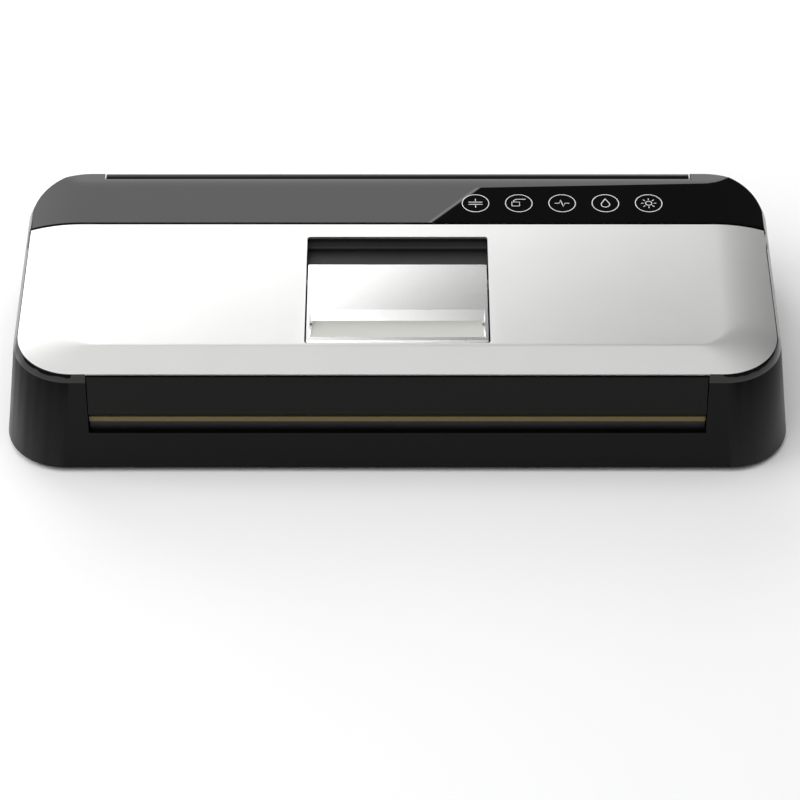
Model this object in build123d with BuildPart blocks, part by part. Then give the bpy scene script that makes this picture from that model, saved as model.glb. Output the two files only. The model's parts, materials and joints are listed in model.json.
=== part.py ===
"""Table-top vacuum packing machine: a drafted housing, a hinged lid with a locking handle, and what
works inside them.

Frame: +X to the right as the user stands in front, +Y to the back, +Z up.  The origin is on the table,
under the middle of the machine.  Millimetres.
"""

import os

from build123d import *

# ---------------------------------------------------------------- driving dimensions

# Housing: a drafted rounded box that stands on four feet and carries the lid on its top edge.
BASE_WIDTH = 392.0
BASE_DEPTH = 166.0
BASE_CORNER = 30.0
FOOT_HEIGHT = 3.0
SEAM_Z = 54.3
SEAM_WIDTH = 380.0
SEAM_DEPTH = 153.0
SEAM_CORNER = 29.5
WALL = 2.4

# Lid: a bevelled rim, and above it a crowned top that is flat in the middle.
RIM_Z = 58.8
RIM_WIDTH = 376.0
RIM_FRONT = -75.3
RIM_REAR = 75.2
RIM_CORNER = 29.0
CREST_Z = 63.0
CROWN_RUN = 26.0
FRONT_SLOPE_RUN = 16.6
REAR_SLOPE_Y = 66.6
REAR_SLOPE = 0.13
COVER_INSET = 0.4
COVER_THICK = 1.2
COVER_REAR = 33.0
LID_BACK_INSET = 0.15
PANEL_FRONT = 34.6
PANEL_INSET = 0.7
PANEL_THICK = 1.8
PANEL_GAP = 0.05
GAP_DEPTH = 0.8

# Hinge along the back: a barrel on the housing between two ears of the lid.
HINGE_Y = 72.3
HINGE_Z = 58.0
BARREL_R = 4.6
LID_HOLLOW_R = 5.1
EAR_SEAT_R = 5.9
BARREL_HALF = 151.5
HINGE_PIN_R = 2.0
RUNNING_GAP = 0.05

# Bag slot in the front wall, wide enough for a 300 mm bag.
SLOT_HALF = 152.4
LIP_Z = 24.2

# Inner deck: low in front under the lid's chamber, high behind over the pump bay.
HIGH_DECK_Z = 48.5
LOW_DECK_Z = 29.5
DECK_THICK = 2.0
WELL_HALF = 152.6
WELL_REAR = 13.5
BAR_CHANNEL_Z = 21.5
BAR_CHANNEL_REAR = -66.6
BOTTOM_THICK = 2.5

# Vacuum chamber and its seals, centred on one line.
CHAMBER_Y = -32.0
CHAMBER_WIDTH = 281.0
CHAMBER_DEPTH = 39.0
CHAMBER_CORNER = 6.0
CHAMBER_FLOOR_Z = 10.0
GASKET_WIDTH = 296.0
GASKET_DEPTH = 58.0
GASKET_BAND = 6.0
GASKET_CORNER = 10.0
GASKET_SEAT = 1.0
PARTING_Z = 31.0

# Sealing bar with its heating strip and heat-proof tape.
BAR_FRONT = -76.9
BAR_REAR = -67.2
BAR_HALF = 152.0
BAR_TOP = 32.0
TAPE_THICK = 0.3
TAPE_FLAP = 2.8

# Lid inside: a web plate, a skirt round it and a box that hangs over the chamber.
WEB_Z = 50.5
WEB_THICK = 2.0
SKIRT_HALF = 185.6
SKIRT_FRONT = -71.8
SKIRT_REAR = 66.0
BOX_HALF = 149.5
BOX_FRONT = -72.4
BOX_REAR = 11.5
BOX_FLOOR_Z = 33.4
BOX_TOP_Z = 36.0
UPPER_CHAMBER_Z = 44.0
FRONT_PANEL_SEAT = -73.0
PRESSURE_STEM_Y = (-72.4, -69.4)
PANEL_NOTCH_Y = 68.4

# Handle, its well in the lid, and the shaft that carries the lock hooks.
WELL_X = 45.8
WELL_Y_FRONT = -56.9
WELL_Y_REAR = 23.3
HANDLE_X = 44.9
HANDLE_FRONT = -56.0
HANDLE_REAR = 1.5
HANDLE_TOP = 63.2
GRIP_REAR = (-36.5, 59.3)
GRIP_FRONT = (-52.8, 62.9)
GRIP_THICK = 1.5
GRIP_HALF_REAR = 41.9
GRIP_HALF_FRONT = 43.2
SHAFT_Y = -5.5
SHAFT_Z = 56.0
SHAFT_R = 2.5
SHAFT_HALF = 171.0
HOOK_X = 165.0
CLAMP_X = (60.0, 154.0)
CLAMP_SCREW_Y = (SHAFT_Y - 6.0, SHAFT_Y + 6.0)
KEEPER_FRONT = 3.0
KEEPER_REAR = 12.0
KEEPER_Z = 28.5
SWITCH_Y = -52.0
SWITCH_BUTTON_R = 1.9

# Pump in the rear bay.
PUMP_Y = 44.0
PUMP_Z = 25.0
MOTOR_R = 13.5
CRANK_R = 1.6
VALVE_X = 130.0
VALVE_Y = 31.0
PLUNGER_R = 3.0
HOSE_Z = 20.0
FILTER_FRONT = -4.0
FILTER_REAR = 14.0
POWER_BOARD_Z = 12.0

# Touch keys: five round marks on the panel, with a pad and a board under them.
KEY_COUNT = 5
KEY_FIRST_X = 40.2
KEY_PITCH = 22.3
KEY_Y = 49.9
TOUCH_BOARD_Z = 57.6
TOUCH_SCREWS = [(x, y) for x in (29, 143) for y in (42.5, 60.5)]


# ---------------------------------------------------------------- shared shapes

def block(x_span, y_span, z_span, mode=Mode.ADD):
    """A rectangular block between the given limits."""
    with BuildSketch(Plane.XY.offset(z_span[0])) as outline:
        with Locations(((x_span[0] + x_span[1]) / 2, (y_span[0] + y_span[1]) / 2)):
            Rectangle(x_span[1] - x_span[0], y_span[1] - y_span[0])
    extrude(outline.sketch, amount=z_span[1] - z_span[0], mode=mode)


def rounded_block(x_span, y_span, z_span, corner, mode=Mode.ADD):
    """A block whose upright edges are rounded."""
    with BuildSketch(Plane.XY.offset(z_span[0])) as outline:
        with Locations(((x_span[0] + x_span[1]) / 2, (y_span[0] + y_span[1]) / 2)):
            RectangleRounded(x_span[1] - x_span[0], y_span[1] - y_span[0], corner)
    extrude(outline.sketch, amount=z_span[1] - z_span[0], mode=mode)


def mirrored_blocks(x_span, y_span, z_span, mode=Mode.ADD):
    """The same block on the right and on the left."""
    block(x_span, y_span, z_span, mode)
    block((-x_span[1], -x_span[0]), y_span, z_span, mode)


def post(x, y, z_span, radius, mode=Mode.ADD):
    """An upright cylinder."""
    with BuildSketch(Plane.XY.offset(z_span[0])) as section:
        with Locations((x, y)):
            Circle(radius)
    extrude(section.sketch, amount=z_span[1] - z_span[0], mode=mode)


def rod_along_x(x_span, y, z, radius, mode=Mode.ADD):
    """A cylinder that lies along X."""
    with BuildSketch(Plane.YZ.offset(x_span[0])) as section:
        with Locations((y, z)):
            Circle(radius)
    extrude(section.sketch, amount=x_span[1] - x_span[0], mode=mode)


def rod_along_y(y_span, x, z, radius, mode=Mode.ADD):
    """A cylinder that lies along Y."""
    with BuildSketch(Plane.XZ.offset(-y_span[1])) as section:
        with Locations((x, z)):
            Circle(radius)
    extrude(section.sketch, amount=y_span[1] - y_span[0], mode=mode)


def profile_along_x(points, x_span, mode=Mode.ADD):
    """A straight-sided (Y, Z) outline carried along X."""
    with BuildSketch(Plane.YZ.offset(x_span[0])) as section:
        with BuildLine():
            Polyline(*points, close=True)
        make_face()
    extrude(section.sketch, amount=x_span[1] - x_span[0], mode=mode)


def drafted_prism(inset, mode=Mode.ADD):
    """The housing's drafted outer form, drawn in by an even inset."""
    with BuildSketch(Plane.XY.offset(FOOT_HEIGHT)) as foot_plan:
        RectangleRounded(BASE_WIDTH - 2 * inset, BASE_DEPTH - 2 * inset, BASE_CORNER - inset)
    with BuildSketch(Plane.XY.offset(SEAM_Z)) as seam_plan:
        RectangleRounded(SEAM_WIDTH - 2 * inset, SEAM_DEPTH - 2 * inset, SEAM_CORNER - inset)
    loft([foot_plan.sketch, seam_plan.sketch], ruled=True, mode=mode)


def rim_plan(height, inset=0.0):
    """The outline of the rim's top edge, drawn in by an even inset, at a height."""
    with BuildSketch(Plane.XY.offset(height)) as plan:
        with Locations((0, (RIM_FRONT + RIM_REAR) / 2)):
            depth = RIM_REAR - RIM_FRONT - 2 * inset
            RectangleRounded(RIM_WIDTH - 2 * inset, depth, RIM_CORNER - inset)
    return plan.sketch


def pillow(inset, drop, mode=Mode.ADD):
    """The lid's crowned top: level plans that shrink up to the flat crest, open to the back."""
    back = 140.0
    plans = []
    for u in (1.0, 0.8, 0.55, 0.3, 0.0):
        level = CREST_Z - (CREST_Z - RIM_Z) * u ** 2
        half = RIM_WIDTH / 2 - inset - CROWN_RUN * (1 - u)
        front = RIM_FRONT + inset + FRONT_SLOPE_RUN * (1 - u ** 2)
        corner = 16 + (RIM_CORNER - inset - 16) * u
        with BuildSketch(Plane.XY.offset(level - drop)) as plan:
            with Locations((0, (front + back) / 2)):
                RectangleRounded(2 * half, back - front, corner)
        plans.append(plan.sketch)
    loft(plans, mode=mode)


def crown_slab(half, thick, y_span, mode=Mode.ADD, lowered=0.0):
    """A slab under the crown's profile across the machine, carried along Y."""
    flat = RIM_WIDTH / 2 - CROWN_RUN
    crest_z = CREST_Z - lowered
    edge_z = crest_z - (CREST_Z - RIM_Z) * ((half - flat) / CROWN_RUN) ** 2
    mid_z = crest_z - (CREST_Z - RIM_Z) * ((half - flat) / 2 / CROWN_RUN) ** 2
    mid_x = (flat + half) / 2
    with BuildSketch(Plane.XZ.offset(-y_span[1])) as section:
        with BuildLine():
            Line((-flat, crest_z), (flat, crest_z))
            ThreePointArc((flat, crest_z), (mid_x, mid_z), (half, edge_z))
            Line((half, edge_z), (half, edge_z - thick))
            ThreePointArc((half, edge_z - thick), (mid_x, mid_z - thick), (flat, crest_z - thick))
            Line((flat, crest_z - thick), (-flat, crest_z - thick))
            ThreePointArc((-flat, crest_z - thick), (-mid_x, mid_z - thick), (-half, edge_z - thick))
            Line((-half, edge_z - thick), (-half, edge_z))
            ThreePointArc((-half, edge_z), (-mid_x, mid_z), (-flat, crest_z))
        make_face()
    extrude(section.sketch, amount=y_span[1] - y_span[0], mode=mode)


def cut_above_crown(depth, y_span):
    """Takes off everything above a surface that lies a depth below the crown."""
    above = 8.0
    crown_slab(RIM_WIDTH / 2 + 1, above + depth, y_span, Mode.SUBTRACT, lowered=-above)


def cut_rear_slope(lowered=0.0):
    """Takes off what is above the slope that the lid's top has along its rear edge."""
    start_z = CREST_Z - lowered
    end_y = 95.0
    profile_along_x([(REAR_SLOPE_Y, start_z), (end_y, start_z - (end_y - REAR_SLOPE_Y) * REAR_SLOPE),
                     (end_y, 75), (REAR_SLOPE_Y, 75)], (-200, 200), Mode.SUBTRACT)


def gasket_ring(z_span, mode=Mode.ADD):
    """The chamber seal's ring."""
    with BuildSketch(Plane.XY.offset(z_span[0])) as ring:
        with Locations((0, CHAMBER_Y)):
            RectangleRounded(GASKET_WIDTH, GASKET_DEPTH, GASKET_CORNER)
            RectangleRounded(GASKET_WIDTH - 2 * GASKET_BAND, GASKET_DEPTH - 2 * GASKET_BAND,
                             GASKET_CORNER - GASKET_BAND, mode=Mode.SUBTRACT)
    extrude(ring.sketch, amount=z_span[1] - z_span[0], mode=mode)


def pan_screw(x, y, head_z, length, direction, shank=1.5, head=2.8, head_height=1.8):
    """A pan-head screw with its head's seat at head_z and its shank along direction (+1 up)."""
    seat = (head_z, head_z + direction * length)
    crown = (head_z - direction * head_height, head_z)
    post(x, y, (min(seat), max(seat)), shank)
    post(x, y, (min(crown), max(crown)), head)
    slot_z = crown[0] if direction > 0 else crown[1] - 0.9
    block((x - 1.9, x + 1.9), (y - 0.4, y + 0.4), (slot_z, slot_z + 0.9), Mode.SUBTRACT)
    block((x - 0.4, x + 0.4), (y - 1.9, y + 1.9), (slot_z, slot_z + 0.9), Mode.SUBTRACT)


def save(piece, name):
    """Label a finished piece and write its STEP file."""
    piece.part.label = name
    export_step(piece.part, f"parts/{name}.step")


os.makedirs("parts", exist_ok=True)

# ---------------------------------------------------------------- where the fasteners are

BOTTOM_SCREWS = [(sx * 173, y) for sx in (-1, 1) for y in (-63, 60)]
BOTTOM_SCREWS += [(sx * 70, y) for sx in (-1, 1) for y in (-71, 66)]
FEET = [(sx * 150, sy * 60) for sx in (-1, 1) for sy in (-1, 1)]
BOX_SCREWS = [(sx * x, y) for sx in (-1, 1) for x in (84, 142) for y in (-64.2, 6.2)]
POWER_BOARD_X = (-118, -8)
POWER_BOARD_Y = (20, 60)
POWER_BOARD_SCREWS = [(x, y) for x in (-114, -12) for y in (24, 56)]
INLET_X = -140.0
INLET_Z = 24.0
PORT_X = 150.0
PORT_Z = HOSE_Z
PORT_BORE_R = 3.2
PORT_DEPTH = 14.0
PAD_FLOOR = 78.4

# ---------------------------------------------------------------- housing

with BuildPart() as base_housing:
    drafted_prism(0)
    drafted_prism(WALL, mode=Mode.SUBTRACT)
    # Bag slot, open at the top where the lid's front panel closes it.
    block((-SLOT_HALF, SLOT_HALF), (-90, -70), (LIP_Z, 60), Mode.SUBTRACT)
    # Hinge barrel on a web that grows out of the back wall.
    block((-BARREL_HALF, BARREL_HALF), (HINGE_Y - 1.7, HINGE_Y + 4.2), (HIGH_DECK_Z + 0.3, HINGE_Z))
    rod_along_x((-BARREL_HALF, BARREL_HALF), HINGE_Y, HINGE_Z, BARREL_R)
    for side in (-1, 1):
        ends = sorted((side * (BARREL_HALF - 14), side * (BARREL_HALF + 1)))
        rod_along_x(ends, HINGE_Y, HINGE_Z, HINGE_PIN_R, Mode.SUBTRACT)
        seat = sorted((side * (BARREL_HALF + 0.4), side * 192))
        rod_along_x(seat, HINGE_Y, HINGE_Z, EAR_SEAT_R, Mode.SUBTRACT)
    # Flat pads in the back wall for the mains inlet and the hose port.
    for x, z in ((INLET_X, INLET_Z), (PORT_X, PORT_Z)):
        block((x - 15, x + 15), (PAD_FLOOR - 3.4, PAD_FLOOR + 1.5), (z - 11, z + 11))
        block((x - 13, x + 13), (PAD_FLOOR, 90), (z - 9, z + 9), Mode.SUBTRACT)
    block((INLET_X - 9.2, INLET_X + 9.2), (70, 90), (INLET_Z - 6.2, INLET_Z + 6.2), Mode.SUBTRACT)
    rod_along_y((70, 90), PORT_X, PORT_Z, 6.1, Mode.SUBTRACT)
    # Cooling slots in the back wall.
    for index in range(14):
        x = -39 + 6 * index
        block((x - 1, x + 1), (70, 90), (16, 34), Mode.SUBTRACT)
save(base_housing, "base_housing")

with BuildPart() as bottom_plate:
    drafted_prism(WALL + 0.3)
    block((-200, 200), (-90, 90), (FOOT_HEIGHT + BOTTOM_THICK, 60), Mode.SUBTRACT)
    for x, y in BOTTOM_SCREWS:
        post(x, y, (0, 10), 1.7, Mode.SUBTRACT)
        post(x, y, (0, FOOT_HEIGHT + 1.2), 3.2, Mode.SUBTRACT)
    for x, y in FEET:
        post(x, y, (0, 10), 2.6, Mode.SUBTRACT)
    for x, y in POWER_BOARD_SCREWS:
        post(x, y, (FOOT_HEIGHT + 1, POWER_BOARD_Z), 3)
        post(x, y, (FOOT_HEIGHT + 2, POWER_BOARD_Z), 1.5, Mode.SUBTRACT)
    # Cooling slots under the pump and the power board.
    for middle in (-65, 75):
        for index in range(9):
            x = middle - 24 + 6 * index
            block((x - 1.2, x + 1.2), (28, 52), (0, 10), Mode.SUBTRACT)
save(bottom_plate, "bottom_plate")

with BuildPart() as feet:
    for x, y in FEET:
        post(x, y, (0, FOOT_HEIGHT), 8)
        post(x, y, (FOOT_HEIGHT, FOOT_HEIGHT + BOTTOM_THICK), 2.6)
        post(x, y, (FOOT_HEIGHT + BOTTOM_THICK, FOOT_HEIGHT + BOTTOM_THICK + 1.5), 3.4)
    fillet(feet.edges().filter_by(GeomType.CIRCLE).group_by(Axis.Z)[0], 0.8)
save(feet, "feet")

with BuildPart() as bottom_screws:
    for x, y in BOTTOM_SCREWS:
        pan_screw(x, y, FOOT_HEIGHT + 1.2, 9, 1, head_height=1.1)
save(bottom_screws, "bottom_screws")

# ---------------------------------------------------------------- inner deck

with BuildPart() as inner_deck:
    block((-200, 200), (-90, 69.0), (HIGH_DECK_Z - DECK_THICK, HIGH_DECK_Z))
    tub_half = WELL_HALF + DECK_THICK
    tub_rear = WELL_REAR + DECK_THICK
    block((-tub_half, tub_half), (-90, tub_rear), (BAR_CHANNEL_Z - DECK_THICK, HIGH_DECK_Z))
    block((-WELL_HALF, WELL_HALF), (-90, WELL_REAR), (LOW_DECK_Z, 60), Mode.SUBTRACT)
    block((-WELL_HALF, WELL_HALF), (-90, BAR_CHANNEL_REAR), (BAR_CHANNEL_Z, 60), Mode.SUBTRACT)
    hollow_y = (BAR_CHANNEL_REAR + DECK_THICK, 40)
    block((-WELL_HALF, WELL_HALF), hollow_y, (0, LOW_DECK_Z - DECK_THICK), Mode.SUBTRACT)
    drafted_prism(WALL + 0.2, Mode.INTERSECT)
    # Opening for the trough, and the groove that the lower gasket sits in.
    rounded_block((-CHAMBER_WIDTH / 2, CHAMBER_WIDTH / 2),
                  (CHAMBER_Y - CHAMBER_DEPTH / 2, CHAMBER_Y + CHAMBER_DEPTH / 2),
                  (0, 60), CHAMBER_CORNER, Mode.SUBTRACT)
    gasket_ring((LOW_DECK_Z - GASKET_SEAT, LOW_DECK_Z), Mode.SUBTRACT)
    # Slots that the lock hooks drop through, holes for the lid switches and for the keepers' rivets.
    mirrored_blocks((HOOK_X - 6, HOOK_X + 6), (-37, KEEPER_REAR - 2.2), (40, 60), Mode.SUBTRACT)
    for side in (-1, 1):
        post(side * HOOK_X, SWITCH_Y, (40, 60), SWITCH_BUTTON_R + 0.2, Mode.SUBTRACT)
        post(side * HOOK_X, KEEPER_REAR + 4, (40, 60), 1.6, Mode.SUBTRACT)
    # Posts that take the bottom plate's screws.
    for x, y in BOTTOM_SCREWS:
        under = BAR_CHANNEL_Z if y < BAR_CHANNEL_REAR else HIGH_DECK_Z
        post(x, y, (FOOT_HEIGHT + BOTTOM_THICK, under - 1), 4)
        post(x, y, (0, FOOT_HEIGHT + 13), 1.5, Mode.SUBTRACT)
save(inner_deck, "inner_deck")

with BuildPart() as vacuum_trough:
    wide = (-CHAMBER_WIDTH / 2, CHAMBER_WIDTH / 2)
    deep = (CHAMBER_Y - CHAMBER_DEPTH / 2, CHAMBER_Y + CHAMBER_DEPTH / 2)
    rounded_block(wide, deep, (CHAMBER_FLOOR_Z, LOW_DECK_Z), CHAMBER_CORNER)
    rounded_block((wide[0] - 1, wide[1] + 1), (deep[0] - 1, deep[1] + 1),
                  (LOW_DECK_Z, LOW_DECK_Z + 0.8), CHAMBER_CORNER + 1)
    rounded_block((wide[0] + 1.6, wide[1] - 1.6), (deep[0] + 1.6, deep[1] - 1.6),
                  (CHAMBER_FLOOR_Z + 1.6, 60), CHAMBER_CORNER - 1.6, Mode.SUBTRACT)
    rod_along_y((deep[1] - 1, FILTER_FRONT), VALVE_X, HOSE_Z, 2.4)
    rod_along_y((deep[1] - 3, FILTER_FRONT), VALVE_X, HOSE_Z, 1.4, Mode.SUBTRACT)
save(vacuum_trough, "vacuum_trough")

with BuildPart() as lower_gasket:
    gasket_ring((LOW_DECK_Z - GASKET_SEAT, PARTING_Z))
save(lower_gasket, "lower_gasket")

# ---------------------------------------------------------------- sealing bar

STRIP_Y = (-72.4, -69.8)
STRIP_THICK = 0.3
STRIP_LEG = 6.0

with BuildPart() as sealing_bar:
    block((-BAR_HALF, BAR_HALF), (BAR_FRONT, BAR_REAR), (BAR_CHANNEL_Z, BAR_TOP))
    block((-146, 146), STRIP_Y, (BAR_TOP - STRIP_THICK, BAR_TOP), Mode.SUBTRACT)
    mirrored_blocks((145.5, 146), STRIP_Y, (BAR_TOP - STRIP_LEG, BAR_TOP), Mode.SUBTRACT)
save(sealing_bar, "sealing_bar")

with BuildPart() as heating_strip:
    block((-146, 146), STRIP_Y, (BAR_TOP - STRIP_THICK, BAR_TOP))
    mirrored_blocks((145.5, 146), STRIP_Y, (BAR_TOP - STRIP_LEG, BAR_TOP))
save(heating_strip, "heating_strip")

with BuildPart() as heatproof_tape:
    block((-BAR_HALF, BAR_HALF), (BAR_FRONT - TAPE_THICK, BAR_REAR), (BAR_TOP, BAR_TOP + TAPE_THICK))
    block((-BAR_HALF, BAR_HALF), (BAR_FRONT - TAPE_THICK, BAR_FRONT), (BAR_TOP - TAPE_FLAP, BAR_TOP))
save(heatproof_tape, "heatproof_tape")

# ---------------------------------------------------------------- hinge, lock keepers, lid switches

with BuildPart() as hinge_pins:
    for side in (-1, 1):
        ends = sorted((side * (BARREL_HALF - 14), side * (BARREL_HALF + 14)))
        rod_along_x(ends, HINGE_Y, HINGE_Z, HINGE_PIN_R)
save(hinge_pins, "hinge_pins")

with BuildPart() as lock_keepers:
    sides = (HOOK_X - 5, HOOK_X + 5)
    under_deck = HIGH_DECK_Z - DECK_THICK
    mirrored_blocks(sides, (KEEPER_REAR - 2, KEEPER_REAR), (KEEPER_Z, under_deck))
    mirrored_blocks(sides, (KEEPER_FRONT, KEEPER_REAR), (KEEPER_Z, KEEPER_Z + 2))
    mirrored_blocks(sides, (KEEPER_REAR - 2, KEEPER_REAR + 9), (under_deck - 2, under_deck))
    for side in (-1, 1):
        post(side * HOOK_X, KEEPER_REAR + 4, (40, 60), 1.6, Mode.SUBTRACT)
save(lock_keepers, "lock_keepers")

with BuildPart() as keeper_rivets:
    for side in (-1, 1):
        post(side * HOOK_X, KEEPER_REAR + 4, (under_deck - 3, HIGH_DECK_Z + 1), 1.6)
        post(side * HOOK_X, KEEPER_REAR + 4, (under_deck - 3, under_deck - 2), 3)
        post(side * HOOK_X, KEEPER_REAR + 4, (HIGH_DECK_Z, HIGH_DECK_Z + 1), 3)
save(keeper_rivets, "keeper_rivets")

with BuildPart() as lid_switches:
    for side in (-1, 1):
        ends = sorted((side * (HOOK_X - 5), side * (HOOK_X + 5)))
        block(ends, (SWITCH_Y - 5, SWITCH_Y + 5), (33, under_deck))
        post(side * HOOK_X, SWITCH_Y, (41, 60), SWITCH_BUTTON_R + RUNNING_GAP, Mode.SUBTRACT)
        for leg_y in (SWITCH_Y - 3, SWITCH_Y + 3):
            block((side * HOOK_X - 0.4, side * HOOK_X + 0.4), (leg_y - 1, leg_y + 1), (28, 34))
save(lid_switches, "lid_switches")

with BuildPart() as switch_button_left:
    post(-HOOK_X, SWITCH_Y, (43, HIGH_DECK_Z + 1.4), SWITCH_BUTTON_R)
    fillet(switch_button_left.edges().group_by(Axis.Z)[-1], 0.6)
save(switch_button_left, "switch_button_left")

with BuildPart() as switch_button_right:
    post(HOOK_X, SWITCH_Y, (43, HIGH_DECK_Z + 1.4), SWITCH_BUTTON_R)
    fillet(switch_button_right.edges().group_by(Axis.Z)[-1], 0.6)
save(switch_button_right, "switch_button_right")

# ---------------------------------------------------------------- mains inlet and hose port

PLATE_FRONT = PAD_FLOOR + 1.8

with BuildPart() as mains_inlet:
    block((INLET_X - 12, INLET_X + 12), (PAD_FLOOR, PLATE_FRONT), (INLET_Z - 8, INLET_Z + 8))
    block((INLET_X - 9, INLET_X + 9), (60, PAD_FLOOR), (INLET_Z - 6, INLET_Z + 6))
    for lobe in (-4.3, 4.3):
        rod_along_y((69, 90), INLET_X + lobe, INLET_Z, 4.0, Mode.SUBTRACT)
        rod_along_y((58, 69), INLET_X + lobe, INLET_Z, 1.2, Mode.SUBTRACT)
    block((INLET_X - 4.3, INLET_X + 4.3), (69, 90), (INLET_Z - 4, INLET_Z + 4), Mode.SUBTRACT)
save(mains_inlet, "mains_inlet")

with BuildPart() as inlet_pins:
    for lobe in (-4.3, 4.3):
        rod_along_y((56, PLATE_FRONT - 1.5), INLET_X + lobe, INLET_Z, 1.2)
save(inlet_pins, "inlet_pins")

with BuildPart() as hose_port:
    block((PORT_X - 12, PORT_X + 12), (PAD_FLOOR, PLATE_FRONT), (PORT_Z - 8, PORT_Z + 8))
    rod_along_y((64, PAD_FLOOR), PORT_X, PORT_Z, 6)
    rod_along_y((57, 64), PORT_X, PORT_Z, 2.4)
    rod_along_y((PLATE_FRONT - PORT_DEPTH, 90), PORT_X, PORT_Z, PORT_BORE_R, Mode.SUBTRACT)
    rod_along_y((50, 90), PORT_X, PORT_Z, 1.4, Mode.SUBTRACT)
save(hose_port, "hose_port")

# ---------------------------------------------------------------- pump, valve, hoses

with BuildPart() as vacuum_pump:
    block((20, 60), (PUMP_Y - 18, PUMP_Y + 18), (9, 41))
    for x in (23, 42):
        rounded_block((x, x + 15), (PUMP_Y - 14, PUMP_Y + 14), (41, 45), 3)
    rod_along_x((24, 56), PUMP_Y, PUMP_Z, 12, Mode.SUBTRACT)
    rod_along_x((18, 62), PUMP_Y, PUMP_Z, CRANK_R + RUNNING_GAP, Mode.SUBTRACT)
    rod_along_y((PUMP_Y - 23, PUMP_Y - 18), 50, HOSE_Z, 2.4)
    rod_along_y((PUMP_Y - 24, PUMP_Y - 16), 50, HOSE_Z, 1.4, Mode.SUBTRACT)
save(vacuum_pump, "vacuum_pump")

with BuildPart() as pump_motor:
    rod_along_x((60, 108), PUMP_Y, PUMP_Z, MOTOR_R)
    rod_along_x((108, 111), PUMP_Y, PUMP_Z, 5)
    rod_along_x((59, 112), PUMP_Y, PUMP_Z, CRANK_R + RUNNING_GAP, Mode.SUBTRACT)
save(pump_motor, "pump_motor")

with BuildPart() as pump_crank:
    rod_along_x((21, 110), PUMP_Y, PUMP_Z, CRANK_R)
    rod_along_x((29, 38), PUMP_Y, PUMP_Z + 3, 6.5)
    rod_along_x((42, 51), PUMP_Y, PUMP_Z - 3, 6.5)
save(pump_crank, "pump_crank")

with BuildPart() as motor_cradle:
    block((70, 100), (PUMP_Y - 14, PUMP_Y + 14), (FOOT_HEIGHT + BOTTOM_THICK, 17))
    rod_along_x((60, 110), PUMP_Y, PUMP_Z, MOTOR_R, Mode.SUBTRACT)
save(motor_cradle, "motor_cradle")

with BuildPart() as pump_mounts:
    for x in (25, 55):
        for y in (PUMP_Y - 13, PUMP_Y + 13):
            post(x, y, (FOOT_HEIGHT + BOTTOM_THICK, 9), 3.5)
save(pump_mounts, "pump_mounts")

with BuildPart() as release_valve:
    block((VALVE_X - 8, VALVE_X + 8), (VALVE_Y - 9, VALVE_Y + 9), (FOOT_HEIGHT + BOTTOM_THICK, 26))
    post(VALVE_X, VALVE_Y, (26, 42), 8)
    post(VALVE_X, VALVE_Y, (12, 40), PLUNGER_R + RUNNING_GAP, Mode.SUBTRACT)
    rod_along_x((VALVE_X - 12, VALVE_X - 8), VALVE_Y, HOSE_Z, 2.4)
    rod_along_x((VALVE_X - 13, VALVE_X - 4), VALVE_Y, HOSE_Z, 1.4, Mode.SUBTRACT)
    rod_along_x((VALVE_X + 8, VALVE_X + 12), VALVE_Y, HOSE_Z, 2.4)
    rod_along_x((VALVE_X + 4, VALVE_X + 13), VALVE_Y, HOSE_Z, 1.4, Mode.SUBTRACT)
save(release_valve, "release_valve")

with BuildPart() as valve_plunger:
    post(VALVE_X, VALVE_Y, (13, 35), PLUNGER_R)
save(valve_plunger, "valve_plunger")

with BuildPart() as moisture_filter:
    rod_along_y((FILTER_FRONT, FILTER_REAR), VALVE_X, HOSE_Z, 6.5)
    rod_along_y((FILTER_REAR, VALVE_Y - 9), VALVE_X, HOSE_Z, 2.4)
    rod_along_y((FILTER_FRONT - 1, VALVE_Y), VALVE_X, HOSE_Z, 1.4, Mode.SUBTRACT)
save(moisture_filter, "moisture_filter")

PUMP_HOSE_ROUTE = [(50, PUMP_Y - 19, HOSE_Z), (50, 13, HOSE_Z), (113, 13, HOSE_Z),
                   (113, VALVE_Y, HOSE_Z), (VALVE_X - 8, VALVE_Y, HOSE_Z)]
PORT_HOSE_ROUTE = [(VALVE_X + 8, VALVE_Y, HOSE_Z), (PORT_X, VALVE_Y, HOSE_Z), (PORT_X, 57.5, HOSE_Z)]

with BuildPart() as pump_hose:
    with BuildLine():
        pump_route = FilletPolyline(*PUMP_HOSE_ROUTE, radius=4.5)
    with BuildSketch(Plane(pump_route @ 0, z_dir=pump_route % 0)):
        Circle(3.4)
        Circle(2.4, mode=Mode.SUBTRACT)
    sweep()
save(pump_hose, "pump_hose")

with BuildPart() as port_hose:
    with BuildLine():
        port_route = FilletPolyline(*PORT_HOSE_ROUTE, radius=8)
    with BuildSketch(Plane(port_route @ 0, z_dir=port_route % 0)):
        Circle(3.4)
        Circle(2.4, mode=Mode.SUBTRACT)
    sweep()
save(port_hose, "port_hose")

# ---------------------------------------------------------------- power electronics

with BuildPart() as transformer_core:
    block((-176, -126), (30, 44), (FOOT_HEIGHT + BOTTOM_THICK, 8))
    block((-172, -130), (26, 48), (8, 40))
    block((-163, -139), (20, 54), (14, 34), Mode.SUBTRACT)
save(transformer_core, "transformer_core")

with BuildPart() as transformer_coil:
    rounded_block((-163, -139), (20, 54), (14, 34), 4)
save(transformer_coil, "transformer_coil")

with BuildPart() as power_board:
    block(POWER_BOARD_X, POWER_BOARD_Y, (POWER_BOARD_Z, POWER_BOARD_Z + 1.6))
    for x, y in POWER_BOARD_SCREWS:
        post(x, y, (0, 20), 1.5, Mode.SUBTRACT)
save(power_board, "power_board")

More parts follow.
